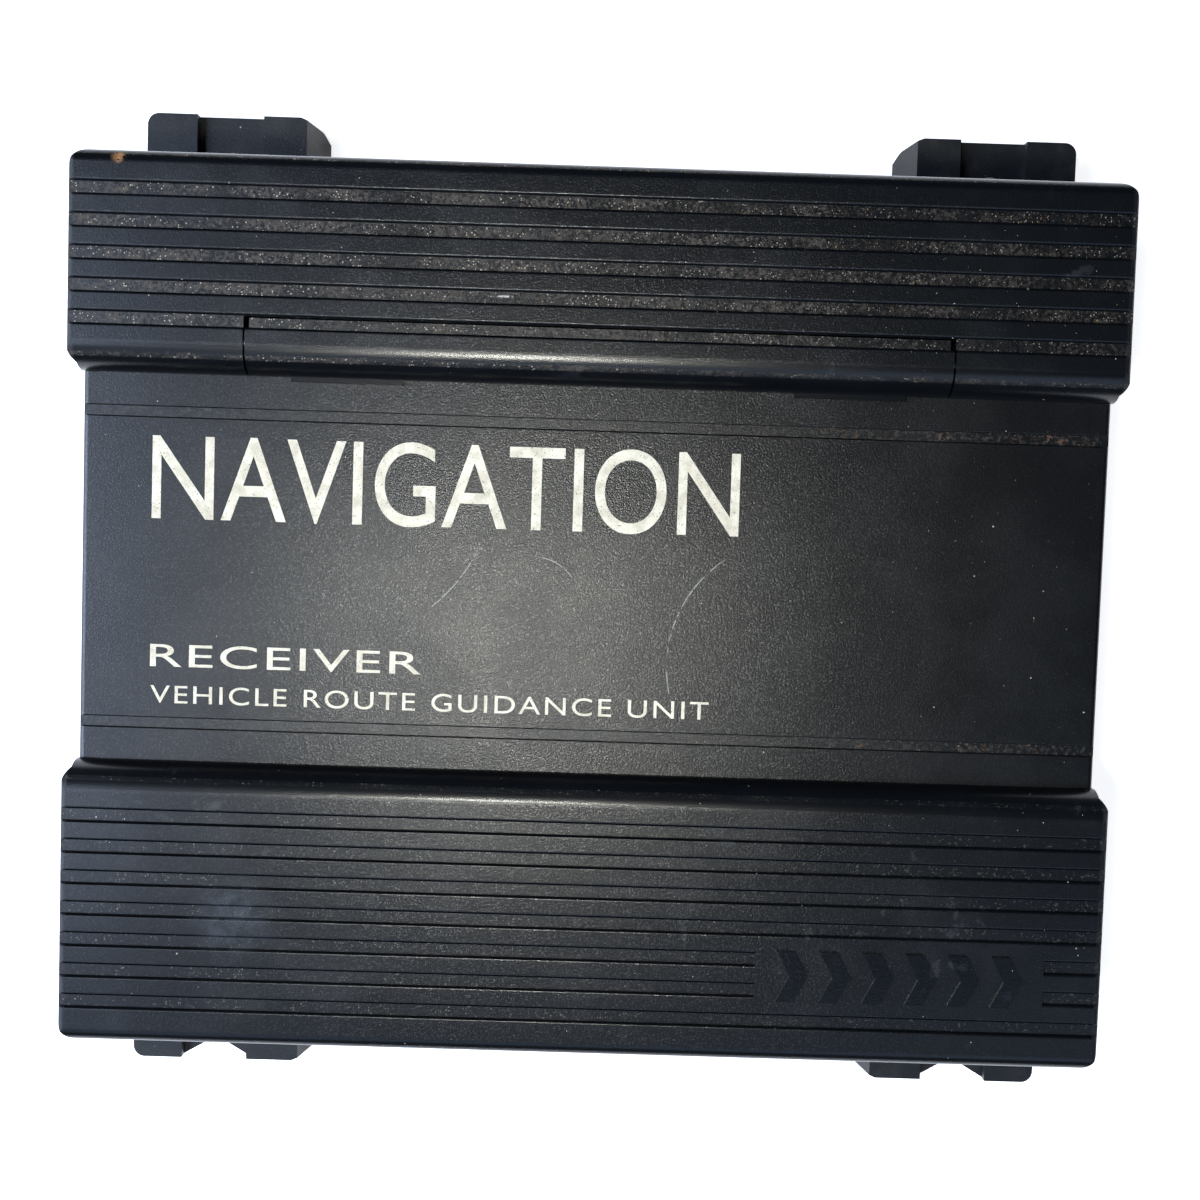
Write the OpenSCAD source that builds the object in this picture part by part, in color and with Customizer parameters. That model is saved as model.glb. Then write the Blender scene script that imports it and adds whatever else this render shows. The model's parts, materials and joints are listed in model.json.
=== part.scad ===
// Hideaway in-vehicle navigation unit: a flat black moulded box with two ribbed end caps, a plain
// centre panel between them, a hinged service door in the rear cap and four mounting ears.
// Origin at the centre of the footprint, on the mounting plane. +X right, +Y to the connector side, +Z up.

/* [Case] */
// Width over the ribbed caps
case_w = 150; // [136:1:190]
// Depth from the front wall to the rear wall, without the mounting ears
case_d = 127.1; // [118:0.1:160]
// Height from the mounting plane to the rib tops
case_h = 34; // [33:0.2:42]
// Thickness of the moulded walls and floor
wall = 2; // [1.6:0.1:2.4]
// Height of the joint between the base tray and the covers
parting_z = 12; // [10:0.5:14]
// How far the centre panel's sides stand in from the caps' sides
panel_inset = 1.1; // [0.8:0.1:1.6]
// How far the centre panel lies below the rib tops
panel_drop = 4.4; // [3.8:0.1:5.4]
// Thickness of the centre panel
panel_t = 2; // [1.6:0.1:2.6]

/* [Ribbed caps] */
// Depth of the front cap
front_cap_d = 40.55; // [38:0.05:46]
// Depth of the rear cap
rear_cap_d = 30.75; // [29.5:0.05:34]
// Distance from one groove to the next
rib_pitch = 4.5; // [3.8:0.1:4.6]
// Width of a groove
groove_w = 1.6; // [1.2:0.1:2]
// Depth of a groove
groove_depth = 0.5; // [0.3:0.05:0.6]
// Radius of the rib edges along the grooves
rib_edge_r = 0.45; // [0.1:0.05:0.5]
// Number of grooves in the front cap
front_grooves = 7; // [3:1:7]
// Number of grooves in the rear cap; the last one is the service door's rear edge
rear_grooves = 5; // [3:1:5]
// Distance from the front wall to the first groove
front_edge_rib = 5.25; // [4:0.05:6]
// Distance from the rear wall to the first groove
rear_edge_rib = 4.7; // [4:0.05:5]
// Thickness of a cap's roof under its grooves
roof_t = 1.7; // [1.4:0.1:2]
// Radius of the shoulder that falls to the centre panel
shoulder_r = 4.2; // [3.4:0.1:4.6]
// Radius of a cap's outer top edge
outer_edge_r = 2; // [1:0.1:3]
// Radius of a cap's top edge at its sides
side_edge_r = 0.8; // [0.4:0.1:1.2]
// Radius of a cap's outer corners in plan
outer_corner_r = 3; // [1:0.1:3.4]
// Radius of a cap's inner corners in plan
inner_corner_r = 3.4; // [2.4:0.1:4.4]

/* [Emblem] */
// Width of the raised chevron row
emblem_w = 37; // [20:1:40]
// Height of the chevrons along Y
emblem_d = 7.4; // [5:0.1:8]
// How far the chevrons stand above the ribs
emblem_h = 0.35; // [0.2:0.05:0.5]
// Number of chevrons in the row
emblem_count = 6; // [3:1:8]
// Distance from the cap's right side to the centre of the row
emblem_from_side = 29.2; // [28:0.1:40]

/* [Service door] */
// Width of the door
door_w = 99.8; // [80:0.2:104]
// Thickness of the door
door_t = 1.6; // [1.4:0.1:1.8]
// Gap at each end of the door
door_gap = 0.3; // [0.2:0.05:0.5]
// Distance from the door's rear edge to its hinge axis
hinge_set = 3.4; // [2.8:0.1:3.6]
// Radius of a hinge pin
pin_r = 0.6; // [0.5:0.05:0.7]
// Width of each finger lip on the door's front edge
lip_w = 16; // [10:1:18]
// Distance from a finger lip to the door's end
lip_from_end = 5.9; // [4:0.1:12]

/* [Mounting ears] */
// Distance between the ears' screw centres along X
ear_pitch_x = 120; // [104:1:160]
// How far both pairs of ears stand to the right of the case's middle
ear_shift = 1; // [-1:0.1:1]
// Distance from the wall to the screw centre
ear_screw_out = 4.6; // [4:0.1:6]
// How far an ear stands out of the wall
ear_out = 11.8; // [10.5:0.1:14]
// How far an ear reaches outwards from its screw, along X
ear_w_outer = 13; // [10:0.1:13.4]
// How far an ear reaches inwards from its screw, along X
ear_w_inner = 14.6; // [10:0.1:18]
// How much further the front ears reach inwards
ear_front_more = 1.5; // [0:0.1:2]
// Half the width of the low web between an ear's two cheeks
ear_web_half = 5.2; // [4.6:0.1:7]
// How far the web lies below the cheeks
ear_web_drop = 1.8; // [0.5:0.1:3]
// Height of an ear
ear_h = 7; // [5:0.5:9]
// Radius of the screw holes and half the width of the slots
ear_hole_r = 1.9; // [1.6:0.1:2.3]
// How much wider a slot's mouth is on each side
ear_mouth = 3.4; // [1:0.1:3.6]

/* [Circuit board] */
// Thickness of the board
board_t = 1.6; // [1.2:0.2:2]
// Height of the board above the floor
standoff_h = 4; // [3:0.5:5]
// Width of the memory card
card_w = 11; // [11:0.5:12]
// Length of the memory card
card_len = 15; // [14:0.5:15]
// Thickness of the memory card
card_t = 1; // [0.7:0.1:1.2]
// Radius of the traffic jack's bore
jack_r = 1.8; // [1.75:0.05:2]
// Radius of the antenna jack's bore
coax_r = 1.75; // [1.5:0.05:2]

/* [Hidden] */
$fn = 64;
cut = 1;                // how far a cutting shape runs past a face
bit = 0.1;              // ordinary fitting clearance
half_w = case_w / 2;
half_d = case_d / 2;
panel_z = case_h - panel_drop;
panel_half = half_w - panel_inset;
roof_z = case_h - groove_depth - roof_t;
front_joint_y = -half_d + front_cap_d;
rear_joint_y = half_d - rear_cap_d;
butt_gap = 0.05;        // between the centre panel and a cap's end face
tongue = wall - 0.2;    // how far the centre panel runs under a cap's foot

// Ears
ear_corner_r = 1.8;
ear_mouth_deep = 2;
ear_slant = [[0, 2.6], [0.9, 1.1], [3.6, 0]];  // the inner corner's three points, in from the side and the tip
ear_flank = 2.6;        // how far the inner side leans back over the ear's height

// The panel's two grooves
panel_groove_in = 4.7;  // from a cap's foot to the groove
panel_groove_w = 1.45;
panel_groove_deep = 0.35;
panel_groove_edge_r = 0.2;

// The plain field round the emblem, measured from the cap's right side
field_far = emblem_from_side + emblem_w / 2 + 2.3;
field_near = emblem_from_side - emblem_w / 2 - 2.3;

// Joint lip between the base tray and the covers
lip_t = 0.9;
lip_h = 1.2;
lip_clear = 0.1;

// Case screws
screw_in = 8;           // from a side wall to a screw
screw_in_y = 7.3;       // from an end wall to a screw
post_r = 4.2;
post_h = wall + 4;
boss_r = 3.2;
pilot_r = 1.3;
pilot_deep = 12;
screw_shank_r = 1.25;
screw_head_r = 2.8;
screw_head_t = 2;
screw_head_z = 1;
screw_len = 13;

// Service door, its hinge and the bay under it
last_groove_y = half_d - rear_edge_rib - (rear_grooves - 1) * rib_pitch;
door_inner_z = case_h - door_t;
hinge_z = door_inner_z;
swing_clear = 0.06;
tail_reach = norm([hinge_set, door_t - groove_depth]);
door_rear_y = last_groove_y - (tail_reach - hinge_set) - swing_clear;
hinge_y = door_rear_y - hinge_set;
door_foot_z = panel_z + 0.4;
lug_t = 1.5;
lug_r = door_t - 0.1;
tail_notch = 0.5;       // how much shorter the door is at each end of its groove
pin_run = 0.05;         // running clearance round a pin in the door
pin_seat = 0.02;        // clearance round a pin in the cap
pin_in_cap = 3;
bay_half = door_w / 2 + door_gap;
bay_wall = 1.2;
bay_front_y = rear_joint_y + 0.4 + bay_wall;
lip_x = door_w / 2 - lip_from_end - lip_w / 2;
lip_out = 0.7;
lip_thick = 0.8;

// Connector plate in the rear window
plate_t = 1.6;
plate_y = half_d - wall - bit;             // the plate's outer face

// Board and the pieces that stand on it
board_z = wall + standoff_h;
board_top = board_z + board_t;
board_half = half_w - 13;
board_front_y = -half_d + 11;
board_rear_y = plate_y - plate_t - 2 * bit;
board_screw_x = board_half - 5;
board_screw_front_y = board_front_y + 5.3;
board_screw_rear_y = board_rear_y - 11.4;
board_hole_r = 1.4;
stand_r = 3;

card_seat = 2.9;        // from the board to the seated card's lower edge
card_proud = 1.5;       // how far the seated card stands out of the bay floor
card_push = 0.6;        // how far the card can be pressed in
bay_floor_z = board_top + card_seat + card_len - card_proud;
bay_floor_t = 1.5;
ledge_w = 2.5;
ledge_h = 1.2;
card_x = -14;
service_y = bay_front_y + 1.1;
usb_x = 14;
usb_w = 7.7;
usb_d = 4;
usb_h = 9.2;
usb_shell = 0.4;
usb_y = bay_front_y + 2.9;
riser_t = 1.2;
reset_x = 27;
reset_r = 1.2;
reset_travel = 0.5;
reset_y = bay_front_y + 2.6;
lamp_x = 35;
lamp_r = 1;
flange_t = 1.1;
switch_size = 6;
switch_h = 3.8;
plunger_r = 1.6;
plunger_out = 1;
plunger_in = 1.2;

// Parts on the board
chip_t = 1.3;
chip_x = -22;
chip_y = 4;
shield_size = [46, 34, 4.4];
shield_t = 0.3;
receiver_y = usb_y + usb_d / 2 + riser_t + 1;
receiver_size = [16, 8.4, 2.8];
cell_r = 6.25;
cell_t = 2;
cell_x = 34;
cell_y = board_front_y + 20;

// Vents and the plate label under the floor
vent_w = 1.6;
vent_len = 22;
vent_pitch = 4;
vent_count = 11;
vent_y = 22;
label_size = [74, 38];
label_y = -26;
label_sink = 0.4;
label_t = 0.2;
label_edge = 0.5;

// Connectors in the rear window
window_half = 41;
window_z = wall + 1;
window_top = 22;
rib_t = 1.2;
mouth_y = half_d - 0.7;                    // where the connectors' mouths are
power_x = -28;
power_size = [22, 12.4, 11.4];
power_cavity = [19.6, 8.6, 9];
power_pins_x = 6;
power_pins_z = 2;
power_pin_pitch = 3;
interface_x = -4;
interface_size = [15.6, 13.6, 13.4];
interface_r = 6.3;
interface_core_r = 4.9;
interface_deep = 9;
coax_x = 15;
coax_barrel_r = 3;
coax_block = [6.8, 5, 7.2];
coax_deep = 3.4;
coax_core_deep = 6;
coax_core_r = coax_r - 0.25;
jack_x = 30;
jack_barrel_r = 3.2;
jack_block = [9, 9, 7.6];
jack_deep = 12;

// ---------- shared shapes ----------

// What to take off a square outside corner at the origin (material at -X, -Y) to round it
module corner_off(r) {
    translate([-r, -r]) difference() {
        square(r + cut);
        circle(r);
    }
}

// A rectangle from [x0, y0] to [x1, y1] whose corners have their own radii: front ones, then rear ones
module rounded_rect(x0, y0, x1, y1, r_front, r_rear) {
    difference() {
        translate([x0, y0]) square([x1 - x0, y1 - y0]);
        translate([x1, y1]) corner_off(r_rear);
        translate([x0, y1]) mirror([1, 0]) corner_off(r_rear);
        translate([x1, y0]) mirror([0, 1]) corner_off(r_front);
        translate([x0, y0]) mirror([1, 0]) mirror([0, 1]) corner_off(r_front);
    }
}

// The footprints of the front cap and of the rear cap, drawn smaller all round by inset
module front_plan(inset = 0) {
    rounded_rect(-half_w + inset, -half_d + inset, half_w - inset, front_joint_y - inset,
                 max(outer_corner_r - inset, 0.1), max(inner_corner_r - inset, 0.1));
}

module rear_plan(inset = 0) {
    rounded_rect(-half_w + inset, rear_joint_y + inset, half_w - inset, half_d - inset,
                 max(inner_corner_r - inset, 0.1), max(outer_corner_r - inset, 0.1));
}

// The whole case's footprint: two wide ends and the narrower middle
module case_plan(inset = 0) {
    front_plan(inset);
    rear_plan(inset);
    translate([-panel_half + inset, -half_d + 2 * inner_corner_r])
        square([2 * (panel_half - inset), case_d - 4 * inner_corner_r]);
}

// The strip where the base tray's lip stands inside the covers' walls
module lip_strip(clear = 0) {
    difference() {
        case_plan(wall - lip_t - clear);
        case_plan(wall + clear);
    }
}

// Turns a drawing of (Y, Z) into a bar that runs along X, centred
module along_x(length) {
    rotate([90, 0, 90]) linear_extrude(length, center = true) children();
}

// A groove's section with its near edge at 0 in a face at Y 0: both edges of the face are rounded
module groove_section(width, depth, edge_r) {
    translate([0, -depth]) square([width, depth + cut]);
    corner_off(edge_r);
    translate([width, 0]) mirror([1, 0]) corner_off(edge_r);
}

// A cap's outer section with its outer wall at Y 0 and its foot at Y depth
module cap_section(depth, first_rib, grooves) {
    edge_r = min(rib_edge_r, groove_depth);
    difference() {
        translate([0, parting_z]) square([depth, case_h - parting_z]);
        translate([0, case_h]) mirror([1, 0]) corner_off(outer_edge_r);
        translate([depth, case_h]) corner_off(shoulder_r);
        for (i = [0 : grooves - 1])
            translate([first_rib + i * rib_pitch, case_h])
                groove_section(groove_w, groove_depth, edge_r);
    }
}

// Rounds a cap's top edges at its two sides
module side_rounding() {
    rotate([90, 0, 0]) linear_extrude(case_d + 2 * cut, center = true) difference() {
        translate([-half_w, 0]) square([case_w, case_h]);
        translate([half_w, case_h]) corner_off(side_edge_r);
        translate([-half_w, case_h]) mirror([1, 0]) corner_off(side_edge_r);
    }
}

// A box given by its centre in X, its nearest Y, its lowest Z and its size
module block(x, y, z, size) {
    translate([x - size[0] / 2, y, z]) cube(size);
}

// A round bar along +Y from y
module bar_y(x, y, z, r, length) {
    translate([x, y, z]) rotate([-90, 0, 0]) cylinder(r = r, h = length);
}

// Repeats its children at the four case screws, or on one side of the case
module at_case_screws(sides = [-1, 1]) {
    for (sx = [-1, 1], sy = sides)
        translate([sx * (half_w - screw_in), sy * (half_d - screw_in_y), 0]) children();
}

module at_board_screws() {
    for (sx = [-1, 1], y = [board_screw_front_y, board_screw_rear_y])
        translate([sx * board_screw_x, y, 0]) children();
}

// ---------- base tray with its ears ----------

// One ear's footprint: its screw is at X 0, the wall at Y 0, the tip at +Y and the case's corner at +X
module ear_plan(inner) {
    difference() {
        rounded_rect(-inner, -wall / 2, ear_w_outer, ear_out, 0.1, ear_corner_r);
        translate([-inner, ear_out]) polygon([
            [-cut, -ear_slant[0][1]], [0, -ear_slant[0][1]], [ear_slant[1][0], -ear_slant[1][1]],
            [ear_slant[2][0], 0], [ear_slant[2][0], cut], [-cut, cut]]);
    }
}

// An ear's two cheeks, the lower web between them and the inner side that leans back
module ear_body(inner) {
    difference() {
        linear_extrude(ear_h) ear_plan(inner);
        translate([-ear_web_half, 0, ear_h - ear_web_drop])
            cube([2 * ear_web_half, ear_out + cut, ear_web_drop + cut]);
        translate([-inner, ear_out + cut, 0]) rotate([90, 0, 0]) linear_extrude(ear_out + cut)
            polygon([[-cut, 0], [0, 0], [ear_flank, ear_h], [ear_flank, ear_h + cut], [-cut, ear_h + cut]]);
    }
}

// A rear ear: a round hole through the web
module closed_ear() {
    difference() {
        ear_body(ear_w_inner);
        translate([0, ear_screw_out, -cut]) cylinder(r = ear_hole_r, h = ear_h + 2 * cut);
    }
}

// A front ear: a slot through the web that opens outwards and flares at its mouth
module open_ear() {
    difference() {
        ear_body(ear_w_inner + ear_front_more);
        translate([0, ear_screw_out, -cut]) cylinder(r = ear_hole_r, h = ear_h + 2 * cut);
        translate([-ear_hole_r, ear_screw_out, -cut]) cube([2 * ear_hole_r, ear_out, ear_h + 2 * cut]);
        translate([0, ear_out, -cut]) linear_extrude(ear_h + 2 * cut)
            polygon([[-ear_hole_r, -ear_mouth_deep], [ear_hole_r, -ear_mouth_deep],
                     [ear_hole_r + ear_mouth, 0], [ear_hole_r + ear_mouth, cut],
                     [-ear_hole_r - ear_mouth, cut], [-ear_hole_r - ear_mouth, 0]]);
    }
}

module ears() {
    for (side = [0, 1]) translate([ear_shift, 0, 0]) mirror([side, 0, 0]) {
        translate([ear_pitch_x / 2, half_d, 0]) closed_ear();
        translate([ear_pitch_x / 2, -half_d, 0]) mirror([0, 1, 0]) open_ear();
    }
}

module base_tray() {
    color("#1c1e21") difference() {
        union() {
            difference() {
                linear_extrude(parting_z) case_plan();
                translate([0, 0, wall]) linear_extrude(parting_z) case_plan(wall);
            }
            translate([0, 0, parting_z - cut]) linear_extrude(lip_h + cut) lip_strip();
            ears();
            at_case_screws() cylinder(r = post_r, h = post_h);
            at_board_screws() cylinder(r = stand_r, h = board_z);
            // the rib that the connector panel stands against
            translate([-window_half, plate_y - plate_t - bit - rib_t, wall - cut / 2])
                cube([2 * window_half, rib_t, standoff_h - 1 + cut / 2]);
        }
        at_case_screws() {
            translate([0, 0, -cut]) cylinder(r = screw_head_r + 0.2, h = screw_head_z + screw_head_t + cut);
            cylinder(r = screw_shank_r + 0.35, h = post_h + cut);
        }
        at_board_screws() translate([0, 0, wall]) cylinder(r = 1.1, h = board_z);
        translate([-window_half, half_d - wall - cut, window_z])
            cube([2 * window_half, wall + 2 * cut, parting_z + lip_h]);
        for (i = [0 : vent_count - 1])
            translate([(i - (vent_count - 1) / 2) * vent_pitch - vent_w / 2, vent_y - vent_len / 2, -cut])
                cube([vent_w, vent_len, wall + 2 * cut]);
        translate([-label_size[0] / 2, label_y - label_size[1] / 2, -cut])
            cube([label_size[0], label_size[1], label_sink + cut]);
    }
}

module rating_label() {
    color("#b9bcbf") translate([0, label_y, label_sink - label_t]) linear_extrude(label_t)
        rounded_rect(-label_size[0] / 2 + label_edge, -label_size[1] / 2 + label_edge,
                     label_size[0] / 2 - label_edge, label_size[1] / 2 - label_edge, 1.5, 1.5);
}

// ---------- covers ----------

module center_cover() {
    middle = (front_joint_y + rear_joint_y) / 2;
    length = rear_joint_y - front_joint_y;
    color("#26282a") difference() {
        union() {
            translate([-panel_half, front_joint_y + butt_gap, parting_z])
                cube([2 * panel_half, length - 2 * butt_gap, panel_z - parting_z]);
            translate([-half_w + inner_corner_r, front_joint_y - tongue, panel_z - panel_t])
                cube([case_w - 2 * inner_corner_r, length + 2 * tongue, panel_t]);
        }
        translate([-panel_half + wall, front_joint_y - cut, parting_z - cut])
            cube([2 * (panel_half - wall), length + 2 * cut, panel_z - panel_t - parting_z + cut]);
        // the bay's front wall stands here
        translate([-bay_half - bay_wall - bit, bay_front_y - bay_wall - bit, 0])
            cube([2 * (bay_half + bay_wall + bit), rear_cap_d, case_h]);
        translate([0, 0, parting_z - cut]) linear_extrude(lip_h + 2 * lip_clear + cut) lip_strip(lip_clear);
        for (y = [front_joint_y + panel_groove_in, rear_joint_y - panel_groove_in - panel_groove_w])
            translate([0, y, panel_z]) along_x(case_w)
                groove_section(panel_groove_w, panel_groove_deep, panel_groove_edge_r);
        for (sx = [-1, 1])
            translate([sx * panel_half, middle, panel_z]) rotate([90, 0, 0])
                linear_extrude(length + 2 * wall, center = true)
                    mirror([sx < 0 ? 1 : 0, 0]) corner_off(side_edge_r);
    }
}

// A cap's hollow shell, with its outer wall at Y 0, without bosses
module cap_shell(depth, first_rib, grooves) {
    difference() {
        along_x(case_w) cap_section(depth, first_rib, grooves);
        translate([-half_w + wall, wall, parting_z - cut])
            cube([case_w - 2 * wall, depth - 2 * wall, roof_z - parting_z + cut]);
        translate([-half_w + wall, wall, parting_z - cut])
            cube([case_w - 2 * wall, depth, panel_z - parting_z + cut]);
    }
}

module cap_bosses(side) {
    difference() {
        at_case_screws([side]) translate([0, 0, post_h + bit])
            cylinder(r = boss_r, h = roof_z + roof_t / 2 - post_h);
        at_case_screws([side]) cylinder(r = pilot_r, h = post_h + bit + pilot_deep);
    }
}

module cap_joint_cut() {
    translate([0, 0, parting_z - cut]) linear_extrude(lip_h + 2 * lip_clear + cut) lip_strip(lip_clear);
}

// Fills the two grooves behind the emblem, so that they stop short of it
module groove_fill() {
    for (i = [1, 2])
        translate([half_w - field_far, -half_d + front_edge_rib + i * rib_pitch - cut / 2,
                   case_h - groove_depth - cut])
            cube([field_far - field_near, groove_w + cut, groove_depth + cut]);
}

// A row of raised chevrons
module emblem() {
    step = emblem_w / emblem_count;
    stroke = step * 0.42;
    lean = emblem_d * 0.26;
    y = -half_d + front_edge_rib + 1.5 * rib_pitch + groove_w / 2;
    for (i = [0 : emblem_count - 1])
        translate([half_w - emblem_from_side + (i + 0.5) * step - emblem_w / 2 - (lean + stroke) / 2, y,
                   case_h - cut])
            linear_extrude(emblem_h + cut) polygon([
                [0, -emblem_d / 2], [stroke, -emblem_d / 2], [stroke + lean, 0],
                [stroke, emblem_d / 2], [0, emblem_d / 2], [lean, 0]]);
}

module front_cap() {
    color("#1d2026") {
        difference() {
            intersection() {
                union() {
                    translate([0, -half_d, 0]) cap_shell(front_cap_d, front_edge_rib, front_grooves);
                    groove_fill();
                }
                linear_extrude(case_h + cut) case_plan();
                side_rounding();
            }
            cap_joint_cut();
        }
        emblem();
        cap_bosses(-1);
    }
}

// The walls round the service bay, before they are hollowed, and the solid ends that hold the pins
module bay_block() {
    foot_z = bay_floor_z - bay_floor_t - ledge_h;
    translate([-bay_half - bay_wall, bay_front_y - bay_wall, foot_z])
        cube([2 * (bay_half + bay_wall), last_groove_y - bay_front_y + 2 * bay_wall, roof_z - foot_z + bit]);
    for (sx = [-1, 1])
        translate([sx * (bay_half + pin_in_cap / 2), hinge_y, roof_z - 0.4])
            cube([pin_in_cap + 2, 4 * lug_r, 2], center = true);
}

module rear_cap() {
    color("#1d2026") difference() {
        union() {
            intersection() {
                union() {
                    translate([0, half_d, 0]) mirror([0, 1, 0])
                        cap_shell(rear_cap_d, rear_edge_rib, rear_grooves);
                    intersection() {
                        bay_block();
                        translate([0, half_d, 0]) mirror([0, 1, 0])
                            along_x(case_w) cap_section(rear_cap_d, rear_edge_rib, 1);
                    }
                }
                linear_extrude(case_h + cut) case_plan();
                side_rounding();
            }
            cap_bosses(1);
        }
        cap_joint_cut();
        // the door's opening above the panel, and the bay under it
        translate([-bay_half, rear_joint_y - cut, panel_z])
            cube([2 * bay_half, last_groove_y - rear_joint_y + cut, case_h]);
        translate([-bay_half, bay_front_y, bay_floor_z - bay_floor_t])
            cube([2 * bay_half, last_groove_y - bay_front_y, case_h]);
        // between the two ledges that the bay's floor rests on
        translate([-bay_half + ledge_w, bay_front_y, bay_floor_z - bay_floor_t - ledge_h - cut])
            cube([2 * (bay_half - ledge_w), last_groove_y - bay_front_y, ledge_h + 2 * cut]);
        for (sx = [-1, 1])
            translate([sx * (bay_half + pin_in_cap / 2), hinge_y, hinge_z]) rotate([0, 90, 0])
                cylinder(r = pin_r + pin_seat, h = pin_in_cap + bit, center = true);
        translate([-window_half, half_d - wall - cut, parting_z - cut])
            cube([2 * window_half, wall + 2 * cut, window_top - parting_z + cut]);
    }
}

// ---------- service door ----------

// The door's inner face: what to take away under its section
module door_hollow_section() {
    centre = [rear_joint_y + shoulder_r, case_h - shoulder_r];
    inner_r = shoulder_r - door_t;
    translate([centre[0], 0]) square([case_d, door_inner_z]);
    translate([centre[0] - inner_r, 0]) square([inner_r + cut, centre[1]]);
    translate(centre) circle(inner_r);
}

module door_lugs() {
    for (sx = [-1, 1])
        translate([sx * (door_w / 2 - lug_t / 2), hinge_y, hinge_z]) rotate([0, 90, 0])
            cylinder(r = lug_r, h = lug_t, center = true);
}

module access_door() {
    color("#1d2026") difference() {
        union() {
            difference() {
                intersection() {
                    translate([0, half_d, 0]) mirror([0, 1, 0])
                        along_x(door_w) cap_section(rear_cap_d, rear_edge_rib, rear_grooves);
                    translate([-half_w, rear_joint_y - cut, door_foot_z])
                        cube([case_w, door_rear_y - rear_joint_y + cut, case_h]);
                }
                along_x(case_w) door_hollow_section();
            }
            door_lugs();
            for (sx = [-1, 1])
                translate([sx * lip_x - lip_w / 2, rear_joint_y - lip_out, door_foot_z - 0.3])
                    cube([lip_w, lip_out + door_t / 2, lip_thick]);
        }
        for (sx = [-1, 1]) {
            translate([sx * (door_w / 2), hinge_y, hinge_z]) rotate([0, 90, 0])
                cylinder(r = pin_r + pin_run, h = 2 * (lug_t + bit), center = true);
            translate([sx * door_w / 2 - tail_notch, last_groove_y - groove_w, 0])
                cube([2 * tail_notch, groove_w, case_h + cut]);
        }
    }
}

module hinge_pins() {
    color("#c3c6c9") for (sx = [-1, 1])
        translate([sx * (bay_half + pin_in_cap / 2 - (door_gap + lug_t - bit) / 2), hinge_y, hinge_z])
            rotate([0, 90, 0]) cylinder(r = pin_r, h = pin_in_cap + door_gap + lug_t - bit, center = true);
}

// The plate that closes the bay's bottom, with a way through for each thing that is reached from above
module bay_floor() {
    color("#17191b") difference() {
        translate([-bay_half + bit, bay_front_y + bit, bay_floor_z - bay_floor_t])
            cube([2 * (bay_half - bit), last_groove_y - bay_front_y - 2 * bit, bay_floor_t]);
        block(card_x, service_y - card_t / 2 - bit, 0, [card_w + 4 * bit, card_t + 2 * bit, case_h]);
        block(usb_x, usb_y - usb_d / 2 - bit, 0, [usb_w + 2 * bit, usb_d + 2 * bit, case_h]);
        translate([reset_x, reset_y, 0]) cylinder(r = reset_r + bit, h = case_h);
        translate([lamp_x, reset_y, 0]) cylinder(r = lamp_r + bit, h = case_h);
    }
}

// ---------- fasteners ----------

// A pan-head screw that points up: its head's underside is at Z 0
module screw(shank_r, shank_len, head_r, head_t) {
    difference() {
        union() {
            translate([0, 0, -head_t]) cylinder(r1 = head_r - 0.5, r2 = head_r, h = 0.5);
            translate([0, 0, -head_t + 0.5]) cylinder(r = head_r, h = head_t - 0.5);
            translate([0, 0, -0.2]) cylinder(r = shank_r, h = shank_len);
            translate([0, 0, shank_len - 0.2]) cylinder(r1 = shank_r, r2 = shank_r / 3, h = 0.8);
        }
        for (a = [0, 90]) rotate([0, 0, a])
            translate([0, 0, -head_t]) cube([head_r * 1.1, head_r * 0.26, head_t * 1.1], center = true);
    }
}

module case_screws() {
    color("#3a3c3f") at_case_screws() translate([0, 0, screw_head_z + screw_head_t])
        screw(screw_shank_r, screw_len - screw_head_z, screw_head_r, screw_head_t);
}

module board_screws() {
    color("#b8bbbe") at_board_screws() translate([0, 0, board_top]) mirror([0, 0, 1])
        screw(1, board_t + 2, 2.3, 1.5);
}

// ---------- circuit board ----------

module main_board() {
    color("#1c5c34") difference() {
        translate([-board_half, board_front_y, board_z])
            cube([2 * board_half, board_rear_y - board_front_y, board_t]);
        at_board_screws() cylinder(r = board_hole_r, h = case_h);
    }
}

module power_connector() {
    mouth = power_size[1];
    color("#d8d5c8") difference() {
        block(power_x, mouth_y - mouth, board_top, power_size);
        block(power_x, mouth_y - power_cavity[1], board_top + (power_size[2] - power_cavity[2]) / 2,
              [power_cavity[0], power_cavity[1] + cut, power_cavity[2]]);
        // the latch's notch in the shroud's roof
        block(power_x, mouth_y - 6, board_top + power_size[2] / 2, [5, 6 + cut, power_size[2]]);
        power_pin_set(0.02);
    }
}

module power_pin_set(clear = 0) {
    side = 0.8 + 2 * clear;
    for (i = [0 : power_pins_x - 1], k = [0 : power_pins_z - 1])
        block(power_x + (i - (power_pins_x - 1) / 2) * power_pin_pitch, mouth_y - power_size[1] + 1,
              board_top + power_size[2] / 2 + (k - (power_pins_z - 1) / 2) * power_pin_pitch - side / 2,
              [side, power_size[1] - 2.6, side]);
}

module power_pins() {
    color("#d9b25a") power_pin_set();
}

interface_z = board_top + interface_size[2] / 2;

module interface_socket() {
    color("#2b2d30") difference() {
        block(interface_x, mouth_y - interface_size[1], board_top, interface_size);
        bar_y(interface_x, mouth_y - interface_deep, interface_z, interface_r, interface_deep + cut);
    }
}

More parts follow.
